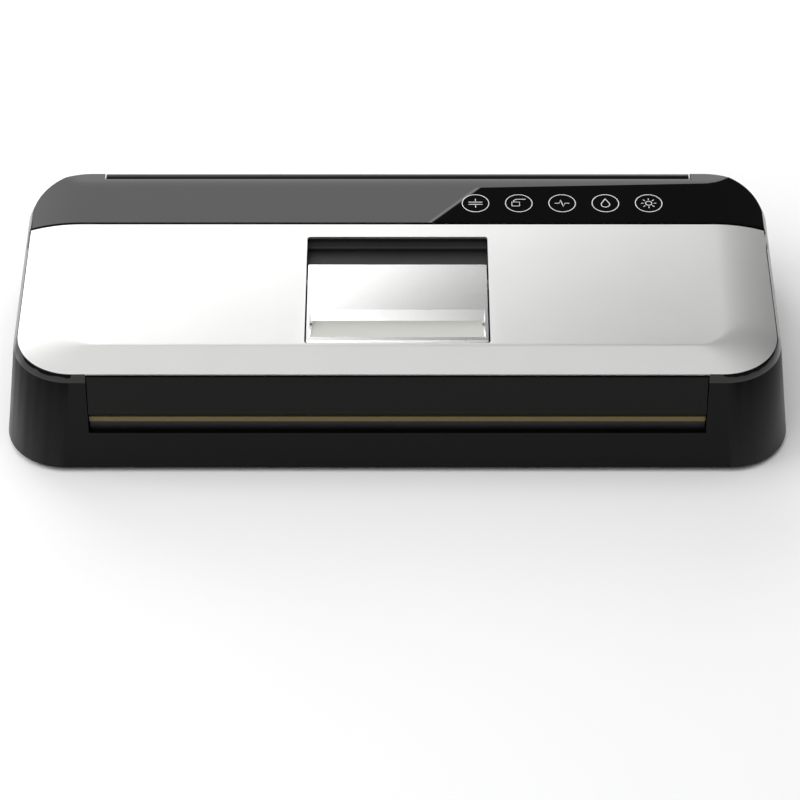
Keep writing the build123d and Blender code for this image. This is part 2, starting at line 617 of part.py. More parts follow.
with BuildPart() as board_parts:
    board_top = POWER_BOARD_Z + 1.6
    for x, y, radius, height in ((-100, 32, 6.5, 22), (-84, 30, 5, 16), (-84, 48, 4, 12), (-26, 50, 3, 8)):
        post(x, y, (board_top, board_top + height), radius)
    for x, y in ((-58, 30), (-36, 30)):
        rounded_block((x - 9, x + 9), (y - 7, y + 7), (board_top, board_top + 15), 1)
    for fin in range(5):
        block((-70 + 5 * fin, -68 + 5 * fin), (44, 58), (board_top, board_top + 18))
    block((-70, -48), (50, 52), (board_top, board_top + 18))
    block((-112, -96), (46, 54), (board_top, board_top + 9))
    block((-24, -12), (34, 44), (board_top, board_top + 7))
save(board_parts, "board_parts")

# ---------------------------------------------------------------- lid

with BuildPart() as rear_form:
    # The lid's solid form behind the cover, under the same crown.
    crown_slab(RIM_WIDTH / 2 - LID_BACK_INSET, 12, (32.5, 90))
    cut_rear_slope()
    extrude(rim_plan(SEAM_Z, LID_BACK_INSET), amount=12, mode=Mode.INTERSECT)


def panel_underside(gap):
    """What lies below the control panel, lowered by a gap."""
    crown_slab(RIM_WIDTH / 2, 12, (0, 90), lowered=PANEL_THICK + gap)
    cut_rear_slope(PANEL_THICK + gap)


def panel_form(gap, underside, above=0.0):
    """The control panel's form, grown by a gap and raised: crowned, round at the back corners, notched."""
    inset = PANEL_INSET - gap
    crown_slab(RIM_WIDTH / 2 - inset, 6 + above, (PANEL_FRONT - gap, 90), lowered=-above)
    cut_rear_slope(-above)
    add(underside.part, mode=Mode.SUBTRACT)
    extrude(rim_plan(50, inset), amount=20, mode=Mode.INTERSECT)
    notch = BARREL_HALF + 1.1 - gap
    block((-notch, notch), (PANEL_NOTCH_Y + gap, 90), (50, 70), Mode.SUBTRACT)


with BuildPart() as space_underside:
    panel_underside(PANEL_GAP)

with BuildPart() as panel_space:
    panel_form(PANEL_GAP, space_underside, above=8.0)

with BuildPart() as plate_underside:
    panel_underside(0)

with BuildPart() as control_panel:
    panel_form(0, plate_underside)
save(control_panel, "control_panel")

with BuildPart() as lid_frame:
    # Rim: its lower face rests on the housing, its bevel rises to the cover's edge.
    with BuildSketch(Plane.XY.offset(SEAM_Z)) as seam_outline:
        RectangleRounded(SEAM_WIDTH, SEAM_DEPTH, SEAM_CORNER)
    loft([seam_outline.sketch, rim_plan(RIM_Z)], ruled=True)
    add(rear_form.part)
    add(panel_space.part, mode=Mode.SUBTRACT)
    # Room for the cover's rear edge, and the groove between the cover and the panel.
    cut_above_crown(COVER_THICK + 0.5, (20, COVER_REAR + 0.4))
    cut_above_crown(GAP_DEPTH, (COVER_REAR + 0.3, PANEL_FRONT + 0.1))
    # Skirt that drops inside the housing's wall, with the web plate as its floor.
    rounded_block((-SKIRT_HALF, SKIRT_HALF), (SKIRT_FRONT, SKIRT_REAR), (WEB_Z, SEAM_Z), 24)
    hollow_half = SKIRT_HALF - 2.4
    rounded_block((-hollow_half, hollow_half), (SKIRT_FRONT + 2.4, 32.8), (WEB_Z + WEB_THICK, 70), 20,
                  Mode.SUBTRACT)
    rounded_block((-hollow_half, hollow_half), (36, 64), (WEB_Z + WEB_THICK, 70), 4, Mode.SUBTRACT)
    # Front edge, set back where the front panel covers it.
    block((-SLOT_HALF, SLOT_HALF), (-90, FRONT_PANEL_SEAT), (40, 70), Mode.SUBTRACT)
    # Box that hangs over the chamber: four walls, screw posts and two ribs that carry the shaft.
    block((-BOX_HALF, BOX_HALF), (BOX_FRONT, BOX_REAR), (BOX_TOP_Z, WEB_Z))
    block((2.2 - BOX_HALF, BOX_HALF - 2.2), (BOX_FRONT + 2.2, BOX_REAR - 2.2), (30, 70), Mode.SUBTRACT)
    for x, y in BOX_SCREWS:
        post(x, y, (BOX_TOP_Z, WEB_Z), 4)
        if y < 0:
            block((x - 1.2, x + 1.2), (BOX_FRONT + 1, y), (BOX_TOP_Z, WEB_Z))
        post(x, y, (BOX_TOP_Z, BOX_TOP_Z + 11), 1.5, Mode.SUBTRACT)
    mirrored_blocks((CLAMP_X[0] - 4, CLAMP_X[0] + 4), (BOX_FRONT + 1, BOX_REAR - 1),
                    (UPPER_CHAMBER_Z + 3, WEB_Z + WEB_THICK))
    for x in CLAMP_X:
        mirrored_blocks((x - 4, x + 4), (SHAFT_Y - 8.5, SHAFT_Y + 8.5), (WEB_Z, SHAFT_Z))
    rod_along_x((-180, 180), SHAFT_Y, SHAFT_Z, SHAFT_R + RUNNING_GAP, Mode.SUBTRACT)
    for x in CLAMP_X:
        for side in (-1, 1):
            for y in CLAMP_SCREW_Y:
                post(side * x, y, (51, 60), 1.2, Mode.SUBTRACT)
    # Slots for the lock hooks.
    mirrored_blocks((HOOK_X - 5, HOOK_X + 5), (-20, 3), (40, WEB_Z + WEB_THICK), Mode.SUBTRACT)
    # Posts for the touch board.
    for x, y in TOUCH_SCREWS:
        post(x, y, (WEB_Z + 1, TOUCH_BOARD_Z), 2.6)
        post(x, y, (WEB_Z + 3, TOUCH_BOARD_Z), 1.0, Mode.SUBTRACT)
    # Hollow round the hinge barrel, and the pins' bores in the two ears.
    barrel_gap = BARREL_HALF + 0.6
    rod_along_x((-barrel_gap, barrel_gap), HINGE_Y, HINGE_Z, LID_HOLLOW_R, Mode.SUBTRACT)
    block((-barrel_gap, barrel_gap), (HINGE_Y, 90), (40, 70), Mode.SUBTRACT)
    rod_along_x((-BARREL_HALF - 15, BARREL_HALF + 15), HINGE_Y, HINGE_Z, HINGE_PIN_R + RUNNING_GAP,
                Mode.SUBTRACT)
save(lid_frame, "lid_frame")

with BuildPart() as lid_cover:
    pillow(COVER_INSET, 0)
    pillow(COVER_INSET, COVER_THICK, Mode.SUBTRACT)
    block((-200, 200), (COVER_REAR, 200), (50, 70), Mode.SUBTRACT)
    rounded_block((-WELL_X, WELL_X), (WELL_Y_FRONT, WELL_Y_REAR), (50, 70), 1.6, Mode.SUBTRACT)
save(lid_cover, "lid_cover")

with BuildPart() as front_panel:
    profile_along_x([(-75.55, 57.2), (-78.95, 35.3), (-77.35, 35.3), (-73.95, 57.2)],
                    (-SLOT_HALF + 0.3, SLOT_HALF - 0.3))
    for x in (-140, -100, -50, 0, 50, 100, 140):
        profile_along_x([(-77.6, 37), (-75.6, 50), (BOX_FRONT, 50), (BOX_FRONT, 37)], (x - 1, x + 1))
save(front_panel, "front_panel")

with BuildPart() as chamber_cover:
    block((-BOX_HALF, BOX_HALF), (-75.2, BOX_REAR), (BOX_FLOOR_Z, BOX_TOP_Z))
    rounded_block((-138, 138), (-50, -14), (BOX_FLOOR_Z, UPPER_CHAMBER_Z + 2), 6)
    rounded_block((-136, 136), (-48, -16), (BOX_FLOOR_Z - 1, UPPER_CHAMBER_Z), 4, Mode.SUBTRACT)
    gasket_ring((BOX_FLOOR_Z, BOX_FLOOR_Z + GASKET_SEAT), Mode.SUBTRACT)
    block((-BOX_HALF, BOX_HALF), PRESSURE_STEM_Y, (BOX_FLOOR_Z, BOX_FLOOR_Z + 1.2), Mode.SUBTRACT)
    for x, y in BOX_SCREWS:
        post(x, y, (30, 50), 1.7, Mode.SUBTRACT)
save(chamber_cover, "chamber_cover")

with BuildPart() as upper_gasket:
    gasket_ring((PARTING_Z + 0.1, BOX_FLOOR_Z + GASKET_SEAT))
save(upper_gasket, "upper_gasket")

with BuildPart() as pressure_strip:
    block((-BOX_HALF, BOX_HALF), (-74.4, -67.4), (BAR_TOP + TAPE_THICK + 0.1, BOX_FLOOR_Z))
    block((-BOX_HALF, BOX_HALF), PRESSURE_STEM_Y, (BOX_FLOOR_Z, BOX_FLOOR_Z + 1.2))
save(pressure_strip, "pressure_strip")

with BuildPart() as lid_screws:
    for x, y in BOX_SCREWS:
        pan_screw(x, y, BOX_FLOOR_Z, 12, 1)
save(lid_screws, "lid_screws")

# ---------------------------------------------------------------- touch keys under the panel

with BuildPart() as touch_board:
    block((26, 146), (40, 63), (TOUCH_BOARD_Z, TOUCH_BOARD_Z + 1.6))
    block((32, 46), (44, 52), (TOUCH_BOARD_Z - 3.5, TOUCH_BOARD_Z))
    for x, y in TOUCH_SCREWS:
        post(x, y, (50, 64), 1.0, Mode.SUBTRACT)
save(touch_board, "touch_board")

with BuildPart() as touch_pads:
    for index in range(KEY_COUNT):
        x = KEY_FIRST_X + KEY_PITCH * index
        post(x, KEY_Y, (TOUCH_BOARD_Z + 1.6, CREST_Z - PANEL_THICK), 5)
save(touch_pads, "touch_pads")

with BuildPart() as board_screws:
    for x, y in TOUCH_SCREWS:
        pan_screw(x, y, TOUCH_BOARD_Z + 1.6, 5, -1, shank=1.0, head=1.9, head_height=1.2)
save(board_screws, "board_screws")

with BuildPart() as power_screws:
    for x, y in POWER_BOARD_SCREWS:
        pan_screw(x, y, board_top, 5.5, -1)
save(power_screws, "power_screws")

# ---------------------------------------------------------------- handle and lock

with BuildPart() as handle_well:
    profile_along_x([(25.1, 61.75), (25.1, 57.3), (20.7, 57.3), (20.7, 54.8), (8.3, 54.8), (8.3, 47.7),
                     (-58.1, 47.7), (-58.1, 61.75)], (-WELL_X - 1.8, WELL_X + 1.8))
    block((-50, 50), (-58.1, 28), (60.3, 61.75))
    profile_along_x([(WELL_Y_REAR, 70), (WELL_Y_REAR, 59.1), (18.9, 59.1), (18.9, 56.6), (6.5, 56.6),
                     (6.5, 49.5), (WELL_Y_FRONT, 49.5), (WELL_Y_FRONT, 70)], (-WELL_X, WELL_X),
                    Mode.SUBTRACT)
    rod_along_x((-60, 60), SHAFT_Y, SHAFT_Z, SHAFT_R + 0.5, Mode.SUBTRACT)
save(handle_well, "handle_well")

with BuildPart() as handle:
    profile_along_x([(HANDLE_REAR, HANDLE_TOP), (HANDLE_REAR, 60.2), (-19, 60.2), (-21, 54.9),
                     (-53.7, 54.9), (HANDLE_FRONT, 57.4), (HANDLE_FRONT, HANDLE_TOP - 0.9),
                     (HANDLE_FRONT + 0.9, HANDLE_TOP)], (-HANDLE_X, HANDLE_X))
    fillet(handle.edges().filter_by(Axis.Z), 0.8)
    # Finger pocket: a slanted face below the plate's front edge, and a seat for the grip in front of it.
    profile_along_x([(-32.5, 70), (-32.5, HANDLE_TOP), (GRIP_REAR[0], GRIP_REAR[1] - 0.1),
                     (GRIP_REAR[0], GRIP_REAR[1] - GRIP_THICK), (GRIP_FRONT[0], GRIP_FRONT[1] - GRIP_THICK),
                     (GRIP_FRONT[0], 70)], (1.5 - HANDLE_X, HANDLE_X - 1.5), Mode.SUBTRACT)
    # Hub on the shaft.
    rod_along_x((-40, 40), SHAFT_Y, SHAFT_Z, 4.6)
    block((-40, 40), (SHAFT_Y - 4, SHAFT_Y + 4), (SHAFT_Z, 61))
    rod_along_x((-60, 60), SHAFT_Y, SHAFT_Z, SHAFT_R, Mode.SUBTRACT)
save(handle, "handle")

with BuildPart() as handle_grip:
    profile_along_x([GRIP_REAR, GRIP_FRONT, (GRIP_FRONT[0], GRIP_FRONT[1] - GRIP_THICK),
                     (GRIP_REAR[0], GRIP_REAR[1] - GRIP_THICK)], (-HANDLE_X, HANDLE_X))
    with BuildSketch(Plane.XY.offset(50)) as grip_plan:
        with BuildLine():
            Polyline((-GRIP_HALF_REAR, GRIP_REAR[0] + 0.1), (GRIP_HALF_REAR, GRIP_REAR[0] + 0.1),
                     (GRIP_HALF_FRONT, GRIP_FRONT[0] - 0.1), (-GRIP_HALF_FRONT, GRIP_FRONT[0] - 0.1),
                     close=True)
        make_face()
    extrude(grip_plan.sketch, amount=20, mode=Mode.INTERSECT)
save(handle_grip, "handle_grip")

with BuildPart() as lock_shaft:
    rod_along_x((-SHAFT_HALF, SHAFT_HALF), SHAFT_Y, SHAFT_Z, SHAFT_R)
    for side in (-1, 1):
        post(side * HOOK_X, SHAFT_Y, (50, 62), 0.8, Mode.SUBTRACT)
save(lock_shaft, "lock_shaft")

with BuildPart() as lock_hooks:
    for side in (-1, 1):
        ends = sorted((side * (HOOK_X - 3), side * (HOOK_X + 3)))
        rod_along_x(ends, SHAFT_Y, SHAFT_Z, 4.4)
        profile_along_x([(SHAFT_Y - 3, SHAFT_Z), (SHAFT_Y + 3, SHAFT_Z), (SHAFT_Y + 3, 27.4), (2.5, 27.4),
                         (2.5, 26.2), (-2.5, 23), (SHAFT_Y - 3, 23)], ends)
        rod_along_x(ends, SHAFT_Y, SHAFT_Z, SHAFT_R, Mode.SUBTRACT)
        post(side * HOOK_X, SHAFT_Y, (50, 62), 0.8, Mode.SUBTRACT)
save(lock_hooks, "lock_hooks")

with BuildPart() as shaft_pins:
    for side in (-1, 1):
        post(side * HOOK_X, SHAFT_Y, (SHAFT_Z - 4.4, SHAFT_Z + 4.4), 0.8)
save(shaft_pins, "shaft_pins")

with BuildPart() as shaft_clips:
    for side in (-1, 1):
        ends = sorted((side * (HOOK_X + 3.3), side * (HOOK_X + 4.3)))
        rod_along_x(ends, SHAFT_Y, SHAFT_Z, 4)
        rod_along_x(ends, SHAFT_Y, SHAFT_Z, SHAFT_R, Mode.SUBTRACT)
save(shaft_clips, "shaft_clips")

with BuildPart() as shaft_clamps:
    for x in CLAMP_X:
        mirrored_blocks((x - 4, x + 4), (SHAFT_Y - 8.5, SHAFT_Y + 8.5), (SHAFT_Z, SHAFT_Z + 3.6))
    rod_along_x((-180, 180), SHAFT_Y, SHAFT_Z, SHAFT_R + RUNNING_GAP, Mode.SUBTRACT)
    for x in CLAMP_X:
        for side in (-1, 1):
            for y in CLAMP_SCREW_Y:
                post(side * x, y, (50, 62), 1.2, Mode.SUBTRACT)
save(shaft_clamps, "shaft_clamps")

with BuildPart() as clamp_screws:
    for x in CLAMP_X:
        for side in (-1, 1):
            for y in CLAMP_SCREW_Y:
                pan_screw(side * x, y, SHAFT_Z + 3.6, 8.5, -1, shank=1.2, head=2.1, head_height=1.2)
save(clamp_screws, "clamp_screws")

with BuildPart() as shaft_springs:
    for side in (-1, 1):
        ends = sorted((side * (CLAMP_X[0] + 4.2), side * (CLAMP_X[0] + 16)))
        rod_along_x(ends, SHAFT_Y, SHAFT_Z, 3.9)
        rod_along_x(ends, SHAFT_Y, SHAFT_Z, 2.8, Mode.SUBTRACT)
save(shaft_springs, "shaft_springs")
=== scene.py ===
"""Looks for the vacuum packing machine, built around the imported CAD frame.

Metres.  +X to the right as the user stands in front, +Y to the back, +Z up.
"""

import json
import math

import bmesh
import bpy
import numpy as np
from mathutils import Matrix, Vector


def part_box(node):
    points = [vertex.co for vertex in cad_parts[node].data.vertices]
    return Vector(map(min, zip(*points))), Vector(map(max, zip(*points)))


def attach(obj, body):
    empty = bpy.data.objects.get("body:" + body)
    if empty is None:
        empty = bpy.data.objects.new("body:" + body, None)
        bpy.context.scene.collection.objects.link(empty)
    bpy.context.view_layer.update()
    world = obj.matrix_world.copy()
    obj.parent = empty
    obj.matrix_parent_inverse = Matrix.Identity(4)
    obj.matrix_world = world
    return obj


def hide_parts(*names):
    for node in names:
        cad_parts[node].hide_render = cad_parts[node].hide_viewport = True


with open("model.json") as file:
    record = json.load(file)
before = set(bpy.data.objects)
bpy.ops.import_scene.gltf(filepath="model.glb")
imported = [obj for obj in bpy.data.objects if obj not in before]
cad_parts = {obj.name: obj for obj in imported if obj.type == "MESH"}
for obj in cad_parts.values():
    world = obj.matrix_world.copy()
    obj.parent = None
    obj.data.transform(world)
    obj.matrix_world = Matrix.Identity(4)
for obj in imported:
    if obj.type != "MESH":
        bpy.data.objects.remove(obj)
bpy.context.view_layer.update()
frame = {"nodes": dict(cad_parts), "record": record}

MM = 0.001
nodes = frame["nodes"]


# ---------------------------------------------------------------- materials

def principled(name, color, rough, metallic=0.0, specular=0.5, coat=0.0, coat_rough=0.03):
    """A material with a Principled shader whose even values sit on its own sockets."""
    mat = bpy.data.materials.new(name)
    mat.use_nodes = True
    shader = mat.node_tree.nodes["Principled BSDF"]
    shader.inputs["Base Color"].default_value = (*color, 1)
    shader.inputs["Roughness"].default_value = rough
    shader.inputs["Metallic"].default_value = metallic
    shader.inputs["Specular IOR Level"].default_value = specular
    shader.inputs["Coat Weight"].default_value = coat
    shader.inputs["Coat Roughness"].default_value = coat_rough
    return mat, shader


def noise(mat, scale, detail=3.0, stretch=(1, 1, 1)):
    """Fractal noise in object space, in cells per metre."""
    tree = mat.node_tree
    place = tree.nodes.new("ShaderNodeTexCoord")
    mapping = tree.nodes.new("ShaderNodeMapping")
    mapping.inputs["Scale"].default_value = stretch
    tree.links.new(place.outputs["Object"], mapping.inputs["Vector"])
    node = tree.nodes.new("ShaderNodeTexNoise")
    node.inputs["Scale"].default_value = scale
    node.inputs["Detail"].default_value = detail
    tree.links.new(mapping.outputs["Vector"], node.inputs["Vector"])
    return node.outputs["Fac"]


def ramp(mat, value, low, high, lowest=0.3, highest=0.7):
    """Carries a 0 to 1 value to the range from low to high, numbers or colours."""
    tree = mat.node_tree
    node = tree.nodes.new("ShaderNodeMapRange" if isinstance(low, (int, float)) else "ShaderNodeValToRGB")
    if isinstance(low, (int, float)):
        node.inputs["From Min"].default_value = lowest
        node.inputs["From Max"].default_value = highest
        node.inputs["To Min"].default_value = low
        node.inputs["To Max"].default_value = high
        tree.links.new(value, node.inputs["Value"])
        return node.outputs["Result"]
    node.color_ramp.elements[0].position = lowest
    node.color_ramp.elements[1].position = highest
    node.color_ramp.elements[0].color = (*low, 1)
    node.color_ramp.elements[1].color = (*high, 1)
    tree.links.new(value, node.inputs["Fac"])
    return node.outputs["Color"]


def bump(mat, shader, height, strength, distance):
    """Fine relief from a height value."""
    node = mat.node_tree.nodes.new("ShaderNodeBump")
    node.inputs["Strength"].default_value = strength
    node.inputs["Distance"].default_value = distance
    mat.node_tree.links.new(height, node.inputs["Height"])
    mat.node_tree.links.new(node.outputs["Normal"], shader.inputs["Normal"])


def finish_material(name, color, rough, metallic=0.0, specular=0.5, grain=900.0, relief=0.1, spread=0.12,
                    depth=0.00004, stretch=(1, 1, 1), coat=0.0, tint=None):
    """A moulded or metal finish: colour and roughness that vary a little, and a fine grain."""
    mat, shader = principled(name, color, rough, metallic, specular, coat)
    broad = noise(mat, 30.0, 4.0)
    fine = noise(mat, grain, 2.0, stretch)
    dark = tuple(c * (1 - spread) for c in color)
    light = tint or tuple(min(1.0, c * (1 + spread)) for c in color)
    mat.node_tree.links.new(ramp(mat, broad, dark, light), shader.inputs["Base Color"])
    mat.node_tree.links.new(ramp(mat, fine, rough * 0.9, min(1.0, rough * 1.1)), shader.inputs["Roughness"])
    if relief:
        bump(mat, shader, fine, relief, depth)
    return mat


MATERIALS = {
    "housing_black": finish_material("housing_black", (0.001, 0.001, 0.0011), 0.34, specular=0.15, grain=2600, relief=0.12),
    "rim_black": finish_material("rim_black", (0.002, 0.002, 0.0022), 0.1, specular=0.5, grain=500, relief=0.02),
    "panel_black": finish_material("panel_black", (0.0012, 0.0012, 0.0013), 0.008, specular=0.40, relief=0),
    "cover_steel": finish_material("cover_steel", (0.80, 0.80, 0.79), 0.42, 1.0, grain=3000, relief=0.03, spread=0.01),
    "steel_edge": finish_material("steel_edge", (0.92, 0.92, 0.92), 0.16, 1.0, grain=3000, relief=0.0, spread=0.01),
    "chrome": finish_material("chrome", (0.86, 0.86, 0.855), 0.2, 1.0, grain=1500, relief=0.0, spread=0.01),
    "deck_black": finish_material("deck_black", (0.012, 0.012, 0.012), 0.5, grain=2200, relief=0.25),
    "front_black": finish_material("front_black", (0.0018, 0.0018, 0.0016), 0.36, specular=0.18, grain=2600, relief=0.12),
    "trough_grey": finish_material("trough_grey", (0.055, 0.057, 0.06), 0.42, grain=2200, relief=0.2),
    "foot_rubber": finish_material("foot_rubber", (0.016, 0.016, 0.016), 0.8, grain=3500, relief=0.4),
    "gasket_foam": finish_material("gasket_foam", (0.03, 0.03, 0.032), 0.9, grain=5200, relief=0.8, depth=0.0001),
    "silicone_red": finish_material("silicone_red", (0.32, 0.035, 0.02), 0.45, grain=1800, relief=0.15),
    "bar_resin": finish_material("bar_resin", (0.010, 0.010, 0.010), 0.55, grain=2400, relief=0.2),
    "heater_alloy": finish_material("heater_alloy", (0.55, 0.50, 0.45), 0.35, 1.0, grain=2600, relief=0.1, stretch=(0.05, 1, 1)),
    "zinc_steel": finish_material("zinc_steel", (0.62, 0.63, 0.64), 0.32, 1.0, grain=1800, relief=0.12),
    "switch_black": finish_material("switch_black", (0.014, 0.014, 0.015), 0.45, grain=2400, relief=0.2),
    "switch_button": finish_material("switch_button", (0.45, 0.03, 0.02), 0.4, grain=2400, relief=0.1),
    "brass": finish_material("brass", (0.78, 0.56, 0.25), 0.28, 1.0, grain=1800, relief=0.1),
    "pump_plastic": finish_material("pump_plastic", (0.03, 0.032, 0.036), 0.5, grain=2200, relief=0.25),
    "motor_steel": finish_material("motor_steel", (0.50, 0.51, 0.52), 0.36, 1.0, grain=1600, relief=0.12, stretch=(0.1, 1, 1)),
    "hose_silicone": finish_material("hose_silicone", (0.72, 0.72, 0.70), 0.4, grain=1500, relief=0.08),
    "filter_clear": finish_material("filter_clear", (0.62, 0.68, 0.72), 0.22, grain=1200, relief=0.04),
    "core_iron": finish_material("core_iron", (0.20, 0.20, 0.21), 0.5, 0.8, grain=3000, relief=0.5, stretch=(0.02, 1, 0.02)),
    "coil_yellow": finish_material("coil_yellow", (0.62, 0.45, 0.08), 0.45, grain=1500, relief=0.15),
    "board_green": finish_material("board_green", (0.02, 0.14, 0.06), 0.4, grain=1500, relief=0.12),
    "part_black": finish_material("part_black", (0.02, 0.02, 0.022), 0.42, grain=1800, relief=0.15),
    "grip_grey": finish_material("grip_grey", (0.455, 0.46, 0.425), 0.55, grain=2600, relief=0.08, spread=0.02),
    "print_white": finish_material("print_white", (0.75, 0.75, 0.75), 0.5, grain=1800, relief=0.05),
}


def tape_material():
    """Brown heat-proof tape: a coated glass weave."""
    mat, shader = principled("tape_brown", (0.16, 0.10, 0.035), 0.42, specular=0.4)
    tree = mat.node_tree
    place = tree.nodes.new("ShaderNodeTexCoord")
    waves = []
    for direction in ("X", "Y"):
        wave = tree.nodes.new("ShaderNodeTexWave")
        wave.bands_direction = direction
        wave.inputs["Scale"].default_value = 480.0
        wave.inputs["Distortion"].default_value = 0.4
        tree.links.new(place.outputs["Object"], wave.inputs["Vector"])
        waves.append(wave.outputs["Fac"])
    weave = tree.nodes.new("ShaderNodeMath")
    weave.operation = "MULTIPLY"
    tree.links.new(waves[0], weave.inputs[0])
    tree.links.new(waves[1], weave.inputs[1])
    color = ramp(mat, weave.outputs["Value"], (0.155, 0.112, 0.038), (0.28, 0.21, 0.085), 0.0, 1.0)
    tree.links.new(color, shader.inputs["Base Color"])
    bump(mat, shader, weave.outputs["Value"], 0.3, 0.00005)
    return mat


MATERIALS["tape_brown"] = tape_material()


# ---------------------------------------------------------------- CAD nodes: finishes and softened edges

SLOT_OF = {s["node"]: s["material_slot"] for s in frame["record"]["subparts"]}
EDGE_WIDTH = {"base_housing": 0.5, "lid_frame": 0.3, "front_panel": 0.3, "handle": 0.3, "handle_well": 0.3,
              "sealing_bar": 0.3, "inner_deck": 0.3, "vacuum_trough": 0.3, "chamber_cover": 0.3}

for name, node in nodes.items():
    node.data.materials.clear()
    node.data.materials.append(MATERIALS[SLOT_OF[name]])
    weld = node.modifiers.new("weld", "WELD")
    weld.merge_threshold = 0.000002
    edge = node.modifiers.new("edge", "BEVEL")
    edge.width = EDGE_WIDTH.get(name, 0.15) * MM
    edge.segments = 2
    edge.limit_method = "ANGLE"
    edge.angle_limit = math.radians(32)
    edge.harden_normals = True


# ---------------------------------------------------------------- pieces

def make_piece(name, verts, faces, body, materials, smooth=True):
    """A mesh piece that rides on a body."""
    mesh = bpy.data.meshes.new(name)
    mesh.from_pydata([tuple(v) for v in verts], [], faces)
    mesh.validate()
    mesh.update()
    for material in materials:
        mesh.materials.append(material)
    mesh.polygons.foreach_set("use_smooth", [smooth] * len(mesh.polygons))
    piece = bpy.data.objects.new(name, mesh)
    bpy.context.scene.collection.objects.link(piece)
    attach(piece, body)
    return piece


def soften(piece, width, segments=3, angle=40.0, material=-1):
    """Rounds a piece's sharp edges."""
    edge = piece.modifiers.new("edge", "BEVEL")
    edge.width = width
    edge.segments = segments
    edge.limit_method = "ANGLE"
    edge.angle_limit = math.radians(angle)
    edge.harden_normals = True
    edge.material = material
    return piece


def thicken(piece, thickness, rim_material=0, even=True):
    """Gives a sheet its thickness below its top face."""
    solid = piece.modifiers.new("thickness", "SOLIDIFY")
    solid.thickness = thickness
    solid.offset = -1
    solid.use_even_offset = even
    solid.material_offset_rim = rim_material


# The cover: crowned at its two sides, sloped at its front.
cover_lo, cover_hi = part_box("lid_cover")
CREST_Z = cover_hi.z
EDGE_Z = 58.8 * MM
CROWN_RUN = 26.0 * MM
SLOPE_RUN = 16.6 * MM
COVER_HALF = cover_hi.x
COVER_FRONT = cover_lo.y
COVER_REAR = cover_hi.y
CORNER_OUT = 28.6 * MM
CORNER_IN = 16.0 * MM
DROP = CREST_Z - EDGE_Z


def outline_distance(x, y, u):
    """How far outside the cover's level outline u a point is, all arrays."""
    half = COVER_HALF - CROWN_RUN * (1 - u)
    front = COVER_FRONT + SLOPE_RUN * (1 - u ** 2)
    corner = CORNER_IN + (CORNER_OUT - CORNER_IN) * u
    dx = np.abs(x) - (half - corner)
    dy = (front + corner) - y
    outside = np.hypot(np.maximum(dx, 0), np.maximum(dy, 0))
    inside = np.minimum(np.maximum(dx, dy), 0)
    return outside + inside - corner


def cover_height(x, y):
    """Height of the cover's top: bisection for the level outline through each point."""
    low, high = np.zeros_like(x), np.full_like(x, 1.25)
    for _ in range(26):
        middle = (low + high) / 2
        outside = outline_distance(x, y, middle) > 0
        low, high = np.where(outside, middle, low), np.where(outside, high, middle)
    return CREST_Z - DROP * low ** 2


def soft_cover_height(x, y):
    """The cover's height with its front crease rounded."""
    total, weight = np.zeros_like(x), 0.0
    for step in range(-4, 5):
        share = 1 - abs(step) / 5
        total += share * cover_height(x, y + step * 0.3 * MM)
        weight += share
    return total / weight


def level_outline(u, inset=0.0):
    """Plan points of one level outline, from the rear left corner round the front to the rear right."""
    half = COVER_HALF - CROWN_RUN * (1 - u) - inset
    front = COVER_FRONT + SLOPE_RUN * (1 - u ** 2) + inset
    corner = CORNER_IN + (CORNER_OUT - CORNER_IN) * u - inset
    left = [(-half, y) for y in np.linspace(COVER_REAR, front + corner, 14)[:-1]]
    arc = [(-half + corner - corner * math.cos(a), front + corner - corner * math.sin(a))
           for a in np.linspace(0, math.pi / 2, 19)]
    bottom = [(x, front) for x in np.linspace(-half + corner, 0, 12)[1:-1]]
    half_ring = left + arc + bottom
    return half_ring + [(0.0, front)] + [(-x, y) for x, y in reversed(half_ring)]


def rounded_loop(half, front, rear, corner, steps=6):
    """A closed plan outline with four rounded corners."""
    points = []
    for cx, cy, start in ((half - corner, rear - corner, 0), (-half + corner, rear - corner, 1),
                          (-half + corner, front + corner, 2), (half - corner, front + corner, 3)):
        for a in np.linspace(0, math.pi / 2, steps):
            turn = start * math.pi / 2 + a
            points.append((cx + corner * math.cos(turn), cy + corner * math.sin(turn)))
    return points


